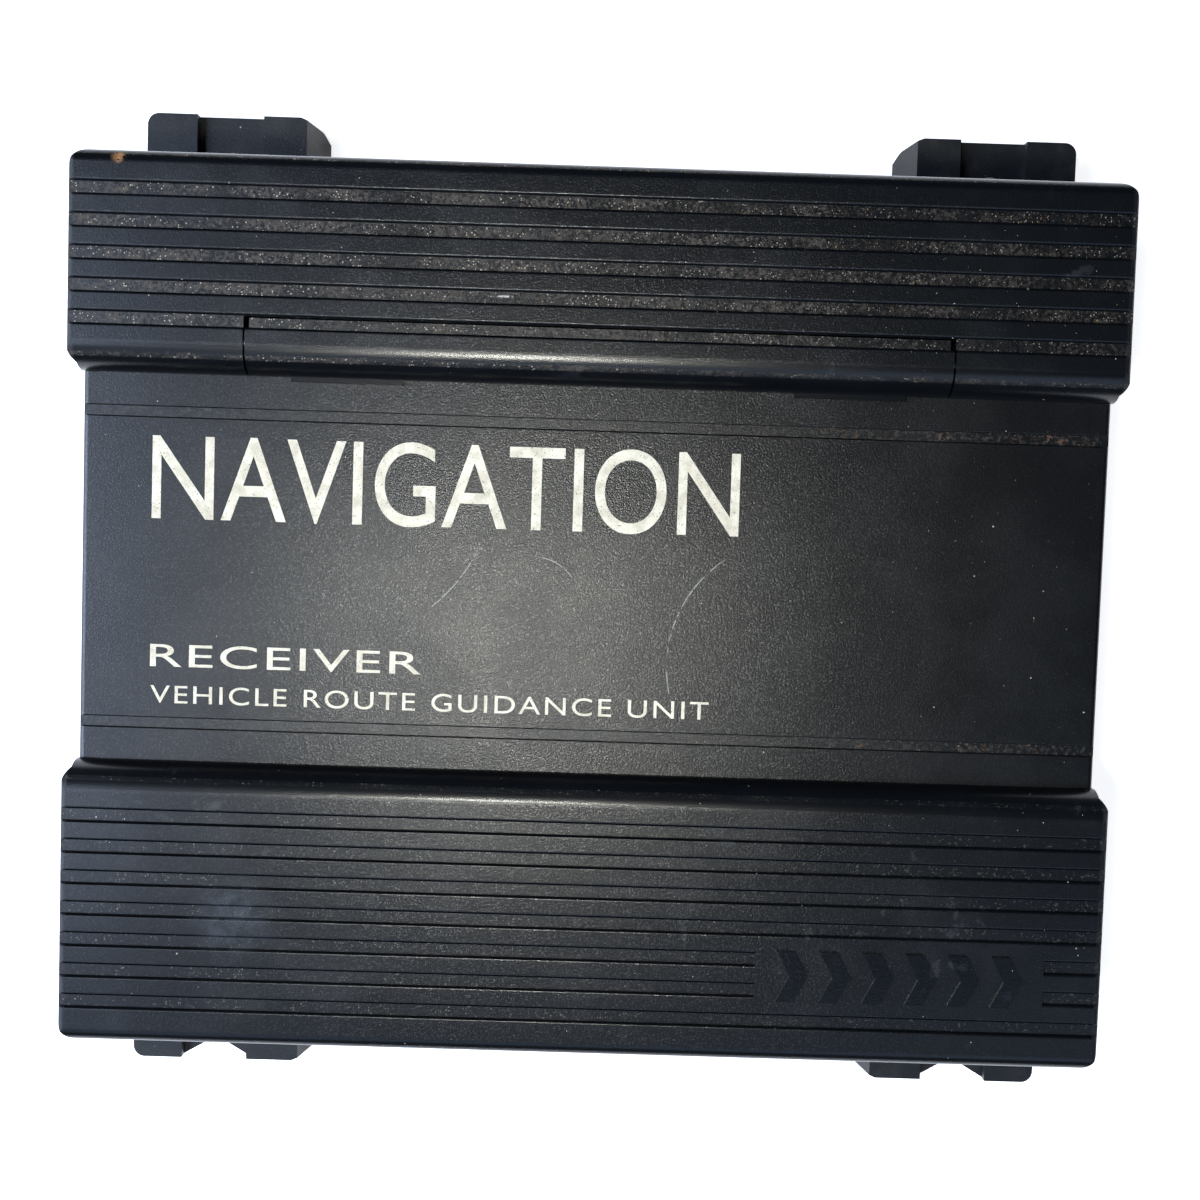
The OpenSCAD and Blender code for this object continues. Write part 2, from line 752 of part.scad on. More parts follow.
module interface_core() {
    contact_r = 0.55;
    color("#c9cac6") difference() {
        bar_y(interface_x, mouth_y - interface_deep, interface_z, interface_core_r, interface_deep - 0.4);
        for (i = [0 : 8])
            bar_y(interface_x + 3.6 * cos(30 * i - 30), mouth_y - 5, interface_z + 3.6 * sin(30 * i - 30),
                  contact_r, 5 + cut);
        for (i = [0 : 3])
            bar_y(interface_x + 1.6 * cos(90 * i + 45), mouth_y - 5, interface_z + 1.6 * sin(90 * i + 45),
                  contact_r, 5 + cut);
        block(interface_x, mouth_y - 6, interface_z - interface_core_r - cut, [2, 6 + cut, 1.2 + cut]);
    }
}

coax_z = board_top + coax_block[2] / 2;

module antenna_jack() {
    color("#cda349") difference() {
        union() {
            block(coax_x, mouth_y - 6.4 - coax_block[1], board_top, coax_block);
            bar_y(coax_x, mouth_y - 6.6, coax_z, coax_barrel_r, 6.6);
        }
        bar_y(coax_x, mouth_y - coax_deep, coax_z, coax_r, coax_deep + cut);
        bar_y(coax_x, mouth_y - coax_core_deep, coax_z, coax_core_r + 0.02, coax_core_deep);
    }
}

module antenna_core() {
    color("#eeeeea") difference() {
        bar_y(coax_x, mouth_y - coax_core_deep, coax_z, coax_core_r, coax_core_deep - coax_deep);
        bar_y(coax_x, mouth_y - coax_deep - 1.5, coax_z, 0.4, 1.5 + cut);
    }
}

jack_z = board_top + jack_block[2] / 2;

module traffic_jack() {
    color("#27292b") difference() {
        union() {
            block(jack_x, mouth_y - 3.4 - jack_block[1], board_top, jack_block);
            bar_y(jack_x, mouth_y - 3.6, jack_z, jack_barrel_r, 3.6);
        }
        bar_y(jack_x, mouth_y - jack_deep, jack_z, jack_r, jack_deep + cut);
    }
}

module connector_panel() {
    y = plate_y - plate_t;
    color("#202225") difference() {
        translate([-window_half - 2, y, wall + bit])
            cube([2 * window_half + 4, plate_t, window_top + 2 - wall - bit]);
        translate([0, -cut, -bit]) {
            block(power_x, y, board_top, [power_size[0] + 2 * bit, 9, power_size[2] + 2 * bit]);
            block(interface_x, y, board_top, [interface_size[0] + 2 * bit, 9, interface_size[2] + 2 * bit]);
        }
        bar_y(coax_x, y - cut, coax_z, coax_barrel_r + bit, plate_t + 2 * cut);
        bar_y(jack_x, y - cut, jack_z, jack_barrel_r + bit, plate_t + 2 * cut);
    }
}

// ---------- what is reached through the bay ----------

module card_socket() {
    height = bay_floor_z - bay_floor_t - 2 * bit - board_top;
    color("#a9acae") difference() {
        block(card_x, service_y - 1.1, board_top, [card_w + 3, 2.9, height]);
        block(card_x, service_y - card_t / 2 - bit, board_top + card_seat - card_push - bit,
              [card_w + 2 * bit, card_t + 2 * bit, height]);
    }
}

module memory_card() {
    color("#111214") block(card_x, service_y - card_t / 2, board_top + card_seat, [card_w, card_t, card_len]);
}

module usb_riser_board() {
    color("#1c5c34") block(usb_x, usb_y + usb_d / 2, board_top,
                           [usb_w + 5, riser_t, bay_floor_z - bay_floor_t - 3 * bit - board_top]);
}

module usb_socket() {
    z = bay_floor_z + 2 * bit - usb_h;
    color("#b4b7ba") difference() {
        block(usb_x, usb_y - usb_d / 2, z, [usb_w, usb_d, usb_h]);
        block(usb_x, usb_y - usb_d / 2 + usb_shell, z + usb_shell,
              [usb_w - 2 * usb_shell, usb_d - 2 * usb_shell, usb_h]);
    }
}

module usb_core() {
    z = bay_floor_z + 2 * bit - usb_h + usb_shell;
    color("#15171a") {
        block(usb_x, usb_y - usb_d / 2 + usb_shell, z,
              [usb_w - 2 * usb_shell, usb_d - 2 * usb_shell, 1.4]);
        block(usb_x, usb_y - 0.5, z, [usb_w - 3, 1, usb_h - 2.2]);
    }
}

module reset_switch() {
    color("#c9c9c4") difference() {
        block(reset_x, reset_y - switch_size / 2, board_top, [switch_size, switch_size, switch_h]);
        translate([reset_x, reset_y, board_top + switch_h - plunger_in - reset_travel - 2 * bit])
            cylinder(r = plunger_r + bit, h = case_h);
    }
}

module switch_plunger() {
    color("#1b1c1e") translate([reset_x, reset_y, board_top + switch_h - plunger_in])
        cylinder(r = plunger_r, h = plunger_in + plunger_out);
}

// The button's long stem stands on the switch's plunger, and its flange stops it under the bay floor
module reset_button() {
    foot = board_top + switch_h + plunger_out;
    color("#8f9396") translate([reset_x, reset_y, 0]) {
        translate([0, 0, foot]) cylinder(r = reset_r, h = bay_floor_z + 0.4 - foot);
        translate([0, 0, bay_floor_z - bay_floor_t - bit - flange_t]) cylinder(r = reset_r + 0.8, h = flange_t);
    }
}

module status_led() {
    color("#e8e6da") block(lamp_x, reset_y - 0.7, board_top, [2.2, 1.4, 1]);
}

module light_pipe() {
    foot = board_top + 1 + 2 * bit;
    color("#dfe6e8", 0.6) translate([lamp_x, reset_y, 0]) {
        translate([0, 0, foot]) cylinder(r = lamp_r, h = bay_floor_z + bit - foot);
        translate([0, 0, bay_floor_z - bay_floor_t - bit - flange_t]) cylinder(r = lamp_r + 0.7, h = flange_t);
    }
}

// ---------- parts on the board ----------

module processor_chip() {
    color("#191a1c") block(chip_x - 8, chip_y - 7.5, board_top, [15, 15, chip_t]);
}

module thermal_pad() {
    color("#8fa3b5") block(chip_x - 8, chip_y - 7, board_top + chip_t,
                           [14, 14, shield_size[2] - shield_t - chip_t]);
}

module memory_chips() {
    color("#1b1c1e") for (y = [-11, 2])
        block(chip_x + 12, chip_y + y, board_top, [12, 9, 1]);
}

// A folded sheet can that stands open side down on the board
module can(x, y, size) {
    color("#c4c7c9") difference() {
        block(x, y, board_top, size);
        block(x, y + shield_t, board_top - cut,
              [size[0] - 2 * shield_t, size[1] - 2 * shield_t, size[2] - shield_t + cut]);
    }
}

module processor_shield() {
    can(chip_x, chip_y - shield_size[1] / 2, shield_size);
}

module gps_shield() {
    can(coax_x + 3, receiver_y, receiver_size);
}

module gps_receiver_chip() {
    color("#17181a") block(coax_x + 3, receiver_y + 2, board_top, [5, 4.5, 0.9]);
}

module crystals() {
    color("#c9ccce") for (x = [chip_x + 28, chip_x + 36])
        block(x, chip_y - 8, board_top, [5, 3.2, 1.1]);
}

module power_inductors() {
    color("#3b3d40") for (i = [0, 1])
        block(power_x - 16 + 15 * i, bay_front_y - 6.4, board_top, [12, 12, 6]);
}

module power_capacitors() {
    color("#9fa2a6") for (i = [0 : 2])
        translate([power_x - 20 + 10 * i, board_front_y + 14, board_top]) {
            cylinder(r = 4, h = 10);
            translate([-4.15, -4.15, 0]) cube([8.3, 8.3, 0.8]);
        }
}

module power_regulators() {
    color("#1e1f21") for (i = [0, 1])
        block(power_x - 16 + 15 * i, board_front_y + 24, board_top, [10, 8.6, 4.4]);
}

module cell_holder() {
    color("#26282b") difference() {
        block(cell_x, cell_y - 8, board_top, [16, 16, 3.4]);
        translate([cell_x, cell_y, board_top + 1]) cylinder(r = cell_r + bit, h = 4);
    }
}

module backup_cell() {
    color("#c9ccce") translate([cell_x, cell_y, board_top + 1]) cylinder(r = cell_r, h = cell_t);
}

base_tray();
center_cover();
front_cap();
rear_cap();
access_door();
hinge_pins();
bay_floor();
connector_panel();
case_screws();
rating_label();
main_board();
board_screws();
power_connector();
power_pins();
interface_socket();
interface_core();
antenna_jack();
antenna_core();
traffic_jack();
card_socket();
memory_card();
usb_riser_board();
usb_socket();
usb_core();
reset_switch();
switch_plunger();
reset_button();
status_led();
light_pipe();
processor_chip();
thermal_pad();
memory_chips();
processor_shield();
gps_receiver_chip();
gps_shield();
crystals();
power_inductors();
power_capacitors();
power_regulators();
cell_holder();
backup_cell();
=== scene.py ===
"""Looks of a hideaway navigation unit: black moulded case, printed legend, road dust and hardware."""
import json
import math

import bmesh
import bpy
from mathutils import Matrix, Vector


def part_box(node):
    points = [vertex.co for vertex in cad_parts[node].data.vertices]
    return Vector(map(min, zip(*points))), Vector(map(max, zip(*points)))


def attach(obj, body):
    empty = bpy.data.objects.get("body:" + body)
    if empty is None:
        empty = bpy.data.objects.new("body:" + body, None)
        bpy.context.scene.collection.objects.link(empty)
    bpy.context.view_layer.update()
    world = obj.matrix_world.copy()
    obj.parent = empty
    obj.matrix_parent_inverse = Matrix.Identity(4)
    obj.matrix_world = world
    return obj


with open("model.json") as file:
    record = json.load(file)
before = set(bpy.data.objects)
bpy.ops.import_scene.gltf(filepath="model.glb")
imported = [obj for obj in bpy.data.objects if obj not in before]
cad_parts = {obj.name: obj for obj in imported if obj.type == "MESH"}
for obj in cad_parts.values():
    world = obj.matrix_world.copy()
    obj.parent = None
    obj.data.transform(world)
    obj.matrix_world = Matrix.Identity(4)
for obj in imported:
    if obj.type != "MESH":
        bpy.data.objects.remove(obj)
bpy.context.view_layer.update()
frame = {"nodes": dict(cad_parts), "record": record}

MM = 0.001
scene = bpy.context.scene
nodes = frame["nodes"]

# Sizes of the moulding that the looks line up with, in millimetres
RIB_PITCH = 4.5
GROOVE_W = 1.6
GROOVE_DEPTH = 0.5
REAR_FIRST_GROOVE = 4.7
REAR_GROOVES = 5

cap_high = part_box("rear_cap")[1]
panel_low, panel_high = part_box("center_cover")
RIB_TOP = cap_high.z
PANEL_TOP = panel_high.z
GROOVE_FLOOR = RIB_TOP - GROOVE_DEPTH * MM
CRUMBS_AT = (-68.0, 62.4)                     # a few brown crumbs caught at the rear edge, in millimetres


# ---------------------------------------------------------------- camera

LENS_MM = 45.0
SENSOR_MM = 36.0
CAMERA_AT = Vector((-0.09, 13.97, 212.3)) * MM
TILT = (3.092, 0.329, -1.810)                 # degrees about the camera's own X, Y and Z


def place_camera():
    """A camera held over the box, tipped a little towards its front."""
    data = bpy.data.cameras.new("camera")
    data.lens = LENS_MM
    data.sensor_width = SENSOR_MM
    data.clip_start = 0.01
    camera = bpy.data.objects.new("camera", data)
    scene.collection.objects.link(camera)
    tip, lean, roll = (math.radians(a) for a in TILT)
    turn = Matrix.Rotation(roll, 4, "Z") @ Matrix.Rotation(lean, 4, "Y") @ Matrix.Rotation(tip, 4, "X")
    camera.matrix_world = Matrix.Translation(CAMERA_AT + Vector((0, 0, RIB_TOP))) @ turn.transposed()
    scene.camera = camera


# ---------------------------------------------------------------- material helpers

def linear(code, alpha=1.0):
    """An sRGB hex colour as the linear values that shaders take."""
    channels = [int(code[i:i + 2], 16) / 255 for i in (1, 3, 5)]
    return [c / 12.92 if c <= 0.04045 else ((c + 0.055) / 1.055) ** 2.4 for c in channels] + [alpha]


def add(tree, kind, inputs=(), **settings):
    """Adds a node. inputs maps a socket's name or number to a value or to another node's output."""
    made = tree.nodes.new(kind)
    for name, value in settings.items():
        setattr(made, name, value)
    for key, value in dict(inputs).items():
        if isinstance(value, bpy.types.NodeSocket):
            tree.links.new(value, made.inputs[key])
        else:
            made.inputs[key].default_value = value
    return made


def start_material(name, **shader_values):
    """A material with one Principled shader whose constants are set on its own sockets."""
    material = bpy.data.materials.new(name)
    material.use_nodes = True
    tree = material.node_tree
    tree.nodes.clear()
    shader = add(tree, "ShaderNodeBsdfPrincipled")
    for key, value in shader_values.items():
        shader.inputs[key.replace("_", " ")].default_value = value
    out = add(tree, "ShaderNodeOutputMaterial", {"Surface": shader.outputs[0]})
    out.is_active_output = True
    place = add(tree, "ShaderNodeTexCoord").outputs["Object"]
    return material, tree, shader, place


def grain(tree, place, size_mm, detail=2.0):
    """A noise whose blobs are about size_mm wide, from 0 to 1."""
    return add(tree, "ShaderNodeTexNoise", {"Vector": place, "Scale": 1 / (size_mm * MM), "Detail": detail,
                                            "Roughness": 0.6}).outputs[0]


def from_middle(tree, place):
    """Distance from the middle plane of the unit, in metres."""
    across = add(tree, "ShaderNodeSeparateXYZ", {0: place}).outputs[0]
    return add(tree, "ShaderNodeMath", {0: across}, operation="ABSOLUTE").outputs[0]


def spark_texture(tree, shader, place, size_mm, relief_mm, glints=0.0, worn=None):
    """Spark-eroded mould texture: rounded pits of size_mm, relief_mm deep, some of whose bottoms glint.
    The sides, which hands hold, and anything in the mask worn are smoother than the rest."""
    pits = add(tree, "ShaderNodeTexVoronoi",
               {"Vector": place, "Scale": 1 / (size_mm * MM), "Randomness": 1.0},
               feature="SMOOTH_F1").outputs["Distance"]
    fine = grain(tree, place, size_mm * 1.1, 1.0)
    height = add(tree, "ShaderNodeMath", {0: pits, 1: fine}, operation="ADD").outputs[0]
    fresh = ramp(tree, from_middle(tree, place), 60 * MM, 25 * MM, 0.4, 1.0)
    if worn is not None:
        fresh = product(tree, fresh, ramp(tree, worn, 0.0, 1.0, 1.0, 0.4))
    bump = add(tree, "ShaderNodeBump", {"Strength": fresh, "Distance": relief_mm * MM, "Height": height})
    tree.links.new(bump.outputs[0], shader.inputs["Normal"])
    if glints:
        level = ramp(tree, height, 0.55, 0.88, 0.5 * (1 + glints), 0.5 * (1 - 0.35 * glints))
        even = add(tree, "ShaderNodeMix", {0: fresh, 2: 0.5, 3: level}, data_type="FLOAT").outputs[0]
        tree.links.new(even, shader.inputs["Specular IOR Level"])


def ramp(tree, value, low, high, to_low=0.0, to_high=1.0):
    """value mapped from low..high onto to_low..to_high, held at both ends, eased."""
    return add(tree, "ShaderNodeMapRange", {"Value": value, "From Min": low, "From Max": high,
                                            "To Min": to_low, "To Max": to_high},
               interpolation_type="SMOOTHSTEP").outputs[0]


def product(tree, *values):
    """Several masks multiplied together."""
    out = values[0]
    for value in values[1:]:
        out = add(tree, "ShaderNodeMath", {0: out, 1: value}, operation="MULTIPLY").outputs[0]
    return out


def most(tree, *values):
    """The largest of several masks."""
    out = values[0]
    for value in values[1:]:
        out = add(tree, "ShaderNodeMath", {0: out, 1: value}, operation="MAXIMUM").outputs[0]
    return out


def specks(tree, place, spacing_mm, radius_mm, share, offset=0.0):
    """Separate round grains: one cell every spacing_mm, a share of the cells holding a grain."""
    shift = (offset, offset * 0.7, offset * 0.3)
    moved = add(tree, "ShaderNodeVectorMath", {0: place, 1: shift}).outputs[0]
    cells = add(tree, "ShaderNodeTexVoronoi", {"Vector": moved, "Scale": 1 / (spacing_mm * MM)},
                feature="F1")
    lot = add(tree, "ShaderNodeSeparateColor", {0: cells.outputs["Color"]})
    reach = ramp(tree, lot.outputs[0], 0.0, 1.0, 0.35 * radius_mm / spacing_mm, radius_mm / spacing_mm)
    inside = add(tree, "ShaderNodeMath", {0: cells.outputs["Distance"], 1: reach}, operation="LESS_THAN")
    drawn = add(tree, "ShaderNodeMath", {0: lot.outputs[1], 1: share}, operation="LESS_THAN")
    return product(tree, inside.outputs[0], drawn.outputs[0])


def hairline(tree, place, centre, radius_mm, width_mm, start_deg, end_deg):
    """A fine scratch along an arc on a level face. centre is in millimetres."""
    from_centre = add(tree, "ShaderNodeVectorMath", {0: place, 1: (centre[0] * MM, centre[1] * MM, 0)},
                      operation="SUBTRACT").outputs[0]
    axes = add(tree, "ShaderNodeSeparateXYZ", {0: from_centre})
    flat = add(tree, "ShaderNodeCombineXYZ", {0: axes.outputs[0], 1: axes.outputs[1]}).outputs[0]
    length = add(tree, "ShaderNodeVectorMath", {0: flat}, operation="LENGTH").outputs["Value"]
    off = add(tree, "ShaderNodeMath", {0: length, 1: radius_mm * MM}, operation="SUBTRACT").outputs[0]
    off = add(tree, "ShaderNodeMath", {0: off}, operation="ABSOLUTE").outputs[0]
    line = ramp(tree, off, width_mm * MM, 0.3 * width_mm * MM)
    angle = add(tree, "ShaderNodeMath", {0: axes.outputs[1], 1: axes.outputs[0]},
                operation="ARCTAN2").outputs[0]
    fade = math.radians(end_deg - start_deg) * 0.2
    first = ramp(tree, angle, math.radians(start_deg), math.radians(start_deg) + fade)
    last = ramp(tree, angle, math.radians(end_deg), math.radians(end_deg) - fade)
    broken = ramp(tree, grain(tree, place, 1.2), 0.42, 0.5)
    return product(tree, line, first, last, broken)


def patch(tree, place, centre, radius_mm):
    """A soft round patch on a level face, broken up by noise. centre is in millimetres."""
    away = add(tree, "ShaderNodeVectorMath", {0: place, 1: (centre[0] * MM, centre[1] * MM, RIB_TOP)},
               operation="DISTANCE").outputs["Value"]
    return product(tree, ramp(tree, away, radius_mm * MM, 0.2 * radius_mm * MM),
                   ramp(tree, grain(tree, place, 2.0, 3.0), 0.35, 0.65, 0.3, 1.0))


def tint(tree, mask, under, over):
    """Colour under with colour over where mask is 1. Both may be hex codes or outputs."""
    pair = [linear(c) if isinstance(c, str) else c for c in (under, over)]
    return add(tree, "ShaderNodeMix", {0: mask, 6: pair[0], 7: pair[1]}, data_type="RGBA").outputs[2]


def layers(tree, colour, *coats):
    """A colour under several coats, each a mask and its colour, the last one on top."""
    for mask, over in coats:
        colour = tint(tree, mask, colour, over)
    return colour


# ---------------------------------------------------------------- materials of the case

DUST = "#a39a88"          # dry pale road dust
SOIL = "#8a6038"          # damp brown grains


def cap_dirt(tree, place, x, y, in_groove):
    """Masks of what lies on the caps: film, lumps and bedded grains in the grooves, loose grains all over.
    The film and bedded grains thin out to the right, partly as painted shade.
    """
    rear = ramp(tree, y, 0.0, 20 * MM)
    to_right = ramp(tree, x, -30 * MM, 60 * MM)
    # Pale film and grains fade towards the right: partly less dust there, partly painted shade of the dimmer
    # right side.
    fade_to_right = -5 * MM, 45 * MM
    patchy = ramp(tree, grain(tree, place, 6.0, 3.0), 0.36, 0.66, 0.25, 1.0)
    film = product(tree, in_groove, rear, patchy, ramp(tree, grain(tree, place, 0.45), 0.38, 0.66))
    film = product(tree, film, ramp(tree, x, *fade_to_right, 0.85, 0.45))
    lumps = product(tree, in_groove, ramp(tree, grain(tree, place, 0.6), 0.62, 0.70, 0.0, 0.35))
    grains = most(tree, specks(tree, place, 0.36, 0.11, 0.55, 0.13), specks(tree, place, 0.8, 0.14, 0.1))
    bedded = product(tree, grains, in_groove, ramp(tree, grain(tree, place, 5.0), 0.38, 0.55),
                     ramp(tree, rear, 0.0, 1.0, 0.3, 1.0), ramp(tree, x, *fade_to_right, 1.0, 0.4))
    loose = most(tree, specks(tree, place, 2.4, 0.13, 0.16), specks(tree, place, 1.2, 0.08, 0.16, 0.31))
    brown = product(tree, specks(tree, place, 2.2, 0.17, 0.10, 0.77), to_right, rear)
    crumbs = product(tree, patch(tree, place, CRUMBS_AT, 1.3),
                     ramp(tree, grain(tree, place, 0.7), 0.40, 0.48))
    return film, lumps, bedded, loose, brown, crumbs


def cap_abs():
    """Injection-moulded black ABS, satin with a fine spark texture: long soft highlights, handling haze."""
    material, tree, shader, place = start_material("cap_abs", IOR=1.5)
    x, y, z = add(tree, "ShaderNodeSeparateXYZ", {0: place}).outputs
    in_groove = product(tree, ramp(tree, z, GROOVE_FLOOR + 0.25 * MM, GROOVE_FLOOR + 0.05 * MM),
                        ramp(tree, z, GROOVE_FLOOR - 0.3 * MM, GROOVE_FLOOR - 0.1 * MM))
    film, lumps, bedded, loose, brown, crumbs = cap_dirt(tree, place, x, y, in_groove)
    haze = ramp(tree, grain(tree, place, 16.0, 4.0), 0.45, 0.75)
    scuffs = product(tree, ramp(tree, grain(tree, place, 4.5, 5.0), 0.62, 0.70, 0.0, 0.5),
                     ramp(tree, grain(tree, place, 30.0), 0.48, 0.60))
    # Painted reflection: the cool left light's sheen on the front cap, painted as a lighter bluish patch.
    painted_sheen = product(tree, patch(tree, place, (-50.2, -44.9), 8.0), 0.55)
    nick = hairline(tree, place, (-16.0, -15.2), 60.0, 0.22, 86.3, 90.8)
    bare = tint(tree, haze, "#07090c", "#0b0d10")
    colour = layers(tree, bare, (scuffs, "#24262a"), (painted_sheen, "#3d4248"), (nick, "#b8b4ac"),
                    (film, "#4b4238"), (lumps, "#57524a"), (loose, DUST), (bedded, "#a79d8b"),
                    (brown, SOIL), (crumbs, "#b5804e"))
    tree.links.new(colour, shader.inputs["Base Color"])
    dull = most(tree, film, loose, bedded, brown, crumbs)
    on_emblem = RIB_TOP + 0.1 * MM, RIB_TOP + 0.3 * MM
    below_rib = RIB_TOP - 0.002 * MM, RIB_TOP - 0.04 * MM
    side_edge = cap_high.x - 1.1 * MM, cap_high.x - 0.6 * MM
    worn_edge = product(tree, ramp(tree, z, *below_rib), ramp(tree, in_groove, 0.0, 1.0, 1.0, 0.0))
    satin = ramp(tree, haze, 0.0, 1.0, 0.32, 0.38)
    satin = ramp(tree, scuffs, 0.0, 0.5, satin, 0.46)
    satin = ramp(tree, z, *on_emblem, satin, 0.22)
    satin = ramp(tree, worn_edge, 0.0, 1.0, satin, 0.26)
    satin = ramp(tree, from_middle(tree, place), *side_edge, satin, 0.55)
    tree.links.new(ramp(tree, dull, 0.0, 1.0, satin, 0.85), shader.inputs["Roughness"])
    spark_texture(tree, shader, place, 0.20, 0.026, 0.8, worn_edge)
    return material


def panel_abs():
    """The same ABS from a coarser spark texture: a broad sheen that breaks into fine sparkle."""
    material, tree, shader, place = start_material("panel_abs", IOR=1.5)
    x, _, z = add(tree, "ShaderNodeSeparateXYZ", {0: place}).outputs
    in_groove = ramp(tree, z, PANEL_TOP - 0.12 * MM, PANEL_TOP - 0.30 * MM)
    to_right = ramp(tree, x, 5 * MM, 65 * MM)
    soil = product(tree, in_groove, to_right, ramp(tree, grain(tree, place, 0.5), 0.56, 0.66, 0.0, 0.7),
                   ramp(tree, grain(tree, place, 6.0), 0.48, 0.6))
    film = product(tree, in_groove, ramp(tree, grain(tree, place, 0.6), 0.45, 0.7, 0.0, 0.4))
    loose = most(tree, specks(tree, place, 2.4, 0.13, 0.14), specks(tree, place, 1.2, 0.075, 0.12, 0.53))
    brown = product(tree, specks(tree, place, 2.0, 0.16, 0.06, 0.19), to_right)
    blue = product(tree, specks(tree, place, 9.0, 0.35, 0.02, 0.4), ramp(tree, x, 20 * MM, 5 * MM))
    long_scratch = (29.9, -6.7), 18.8
    marks = most(tree, hairline(tree, place, *long_scratch, 0.14, 121, 180),
                 hairline(tree, place, *long_scratch, 0.12, -180, -161),
                 hairline(tree, place, (-38.5, 19.0), 24.0, 0.10, -55, -22),
                 hairline(tree, place, (-8.5, 1.4), 6.8, 0.10, 30, 88))
    haze = ramp(tree, grain(tree, place, 14.0, 4.0), 0.35, 0.7)
    bare = tint(tree, haze, "#08090a", "#0c0d0e")
    colour = layers(tree, bare, (film, "#3a3731"), (soil, "#5f422a"), (loose, DUST), (brown, SOIL),
                    (blue, "#28409a"), (marks, "#6c6e6e"))
    tree.links.new(colour, shader.inputs["Base Color"])
    dull = most(tree, soil, loose, brown, film)
    sheen = ramp(tree, haze, 0.0, 1.0, 0.33, 0.37)
    tree.links.new(ramp(tree, dull, 0.0, 1.0, sheen, 0.85), shader.inputs["Roughness"])
    spark_texture(tree, shader, place, 0.20, 0.030, 0.85)
    return material


def tray_abs():
    """Black ABS of the lower shell: plain dull texture, dust where nothing wipes it."""
    material, tree, shader, place = start_material("tray_abs", IOR=1.48)
    film = ramp(tree, grain(tree, place, 5.0, 4.0), 0.40, 0.80, 0.0, 0.35)
    loose = specks(tree, place, 1.8, 0.13, 0.2)
    colour = tint(tree, film, "#111316", "#34332f")
    tree.links.new(tint(tree, loose, colour, DUST), shader.inputs["Base Color"])
    tree.links.new(ramp(tree, film, 0.0, 0.35, 0.46, 0.62), shader.inputs["Roughness"])
    spark_texture(tree, shader, place, 0.30, 0.03, 0.4)
    return material


# ---------------------------------------------------------------- materials of the hardware

def moulded(name, colour, speck_colour, roughness, grain_mm, relief_mm):
    """A small plain moulding: slight mottling of colour, gloss and surface."""
    material, tree, shader, place = start_material(name, IOR=1.5)
    mottle = grain(tree, place, 2.5, 3.0)
    mottled = tint(tree, ramp(tree, mottle, 0.35, 0.8), colour, speck_colour)
    tree.links.new(mottled, shader.inputs["Base Color"])
    gloss = ramp(tree, mottle, 0.3, 0.7, roughness - 0.05, roughness + 0.06)
    tree.links.new(gloss, shader.inputs["Roughness"])
    spark_texture(tree, shader, place, grain_mm, relief_mm)
    return material


def rolled_metal(name, colour, stain, roughness, line_mm, along=(1.0, 12.0, 12.0)):
    """Rolled or drawn metal: fine lines along one axis and a faint stain."""
    material, tree, shader, place = start_material(name, Metallic=1.0)
    stretched = add(tree, "ShaderNodeVectorMath", {0: place, 1: along}, operation="MULTIPLY").outputs[0]
    lines = grain(tree, stretched, line_mm * 12, 3.0)
    tree.links.new(tint(tree, ramp(tree, grain(tree, place, 3.0), 0.45, 0.8), colour, stain),
                   shader.inputs["Base Color"])
    gloss = ramp(tree, lines, 0.3, 0.7, roughness - 0.07, roughness + 0.1)
    tree.links.new(gloss, shader.inputs["Roughness"])
    bump = add(tree, "ShaderNodeBump", {"Strength": 1.0, "Distance": 0.002 * MM, "Height": lines})
    tree.links.new(bump.outputs[0], shader.inputs["Normal"])
    return material


def solder_mask():
    """Glass-epoxy board under green solder mask, with darker and lighter copper runs showing through."""
    material, tree, shader, place = start_material("solder_mask", IOR=1.5, Coat_Weight=0.4,
                                                   Coat_Roughness=0.15)
    runs = add(tree, "ShaderNodeTexBrick", {"Vector": place, "Scale": 1 / (3 * MM), "Mortar Size": 0.06,
                                            "Color1": linear("#0b4a28"), "Color2": linear("#0e5530"),
                                            "Mortar": linear("#1d7a46")}, offset=0.5)
    tree.links.new(runs.outputs[0], shader.inputs["Base Color"])
    tree.links.new(ramp(tree, grain(tree, place, 0.4), 0.3, 0.7, 0.28, 0.4), shader.inputs["Roughness"])
    return material


def clear_polycarbonate():
    """Clear polycarbonate of the light pipe: slightly milky, polished."""
    material, tree, shader, place = start_material("clear_polycarbonate", IOR=1.58, Transmission_Weight=0.8)
    milk = ramp(tree, grain(tree, place, 1.5), 0.3, 0.8)
    tree.links.new(tint(tree, milk, "#e4ecee", "#cfdadd"), shader.inputs["Base Color"])
    tree.links.new(ramp(tree, milk, 0.0, 1.0, 0.08, 0.2), shader.inputs["Roughness"])
    return material


def screen_ink():
    """Warm white screen-printing ink: a dry film with pinholes where the texture under it shows."""
    material, tree, shader, place = start_material("screen_ink", IOR=1.45)
    pinholes = ramp(tree, grain(tree, place, 0.22, 1.0), 0.34, 0.28)
    worn = ramp(tree, grain(tree, place, 2.0, 4.0), 0.30, 0.75)
    colour = tint(tree, worn, "#dfd6c0", "#bfb59d")
    tree.links.new(tint(tree, pinholes, colour, "#6f6b62"), shader.inputs["Base Color"])
    tree.links.new(ramp(tree, worn, 0.0, 1.0, 0.5, 0.65), shader.inputs["Roughness"])
    spark_texture(tree, shader, place, 0.30, 0.010)
    return material


def label_film():
    """Brushed silver polyester label: faint lines along X."""
    material, tree, shader, place = start_material("label_film", Metallic=0.6)
    stretched = add(tree, "ShaderNodeVectorMath", {0: place, 1: (1.0, 30.0, 1.0)}, operation="MULTIPLY")
    lines = grain(tree, stretched.outputs[0], 6.0, 3.0)
    tree.links.new(tint(tree, lines, "#a8abad", "#c3c5c7"), shader.inputs["Base Color"])
    tree.links.new(ramp(tree, lines, 0.2, 0.8, 0.34, 0.5), shader.inputs["Roughness"])
    return material


